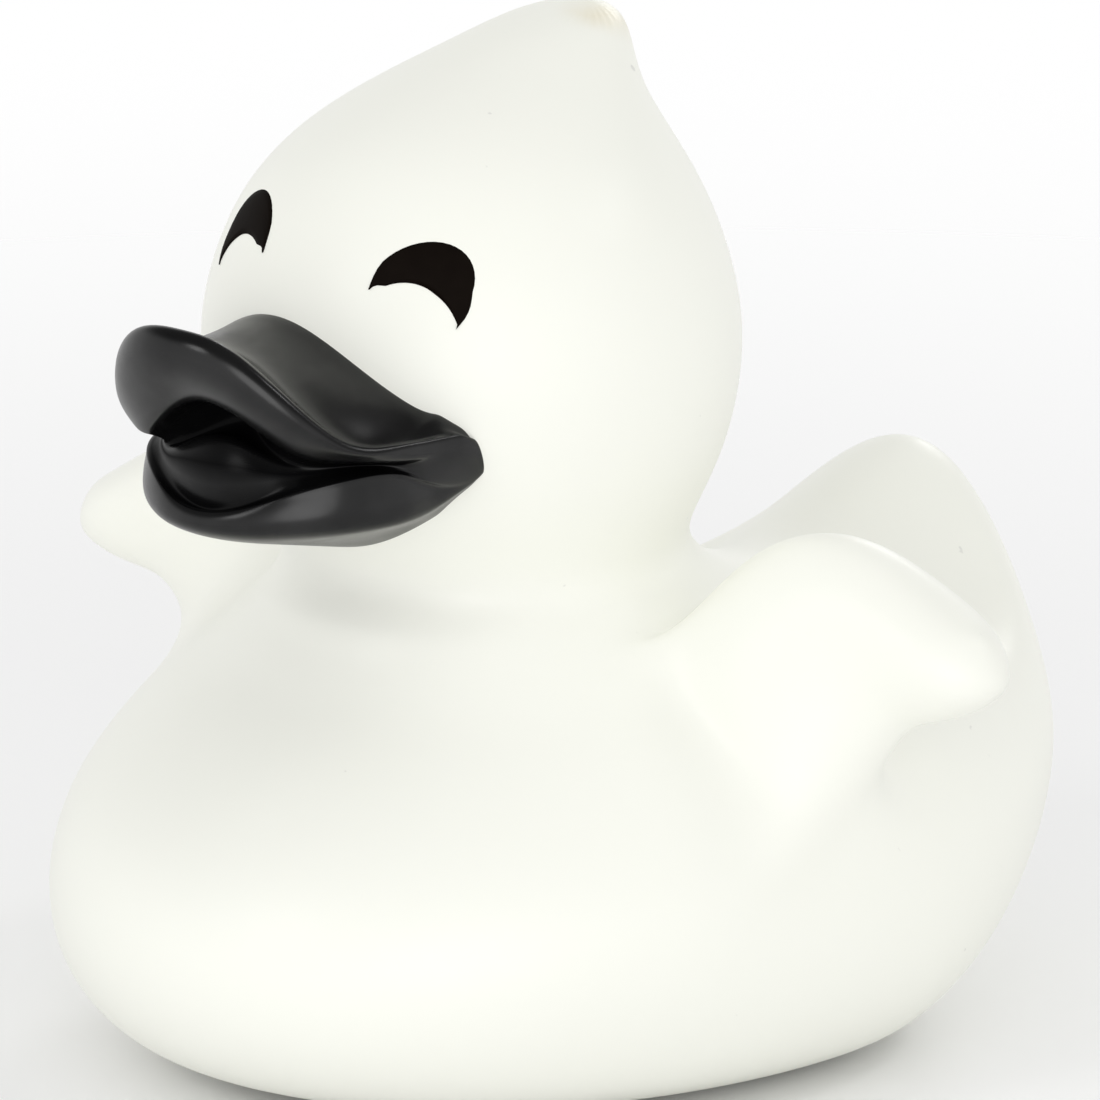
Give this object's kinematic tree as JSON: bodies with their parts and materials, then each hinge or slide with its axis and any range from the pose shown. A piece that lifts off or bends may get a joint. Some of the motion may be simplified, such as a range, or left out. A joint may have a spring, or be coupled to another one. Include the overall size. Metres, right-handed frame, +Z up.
{
  "type": "rubber duck",
  "caption": "White hollow vinyl bath duck with a pointed crest, raised wings, a scooped tail, an open black bill and painted smiling eyes.",
  "frame": {"origin": "on the flat base that the duck rests on, below the middle of the wings' roots", "axes": "+Z up, the duck looks along -Y, and its own left wing is on +X"},
  "size_m": [0.0982, 0.0956, 0.0869],
  "materials": {
    "white_vinyl": "matte moulded vinyl, faintly warm white",
    "black_paint": "satin to gloss black paint on the bill",
    "eye_paint": "gloss brown-black paint on the closed eyes"
  },
  "bodies": {
    "root": {"duck": "white_vinyl"}
  },
  "joints": []
}
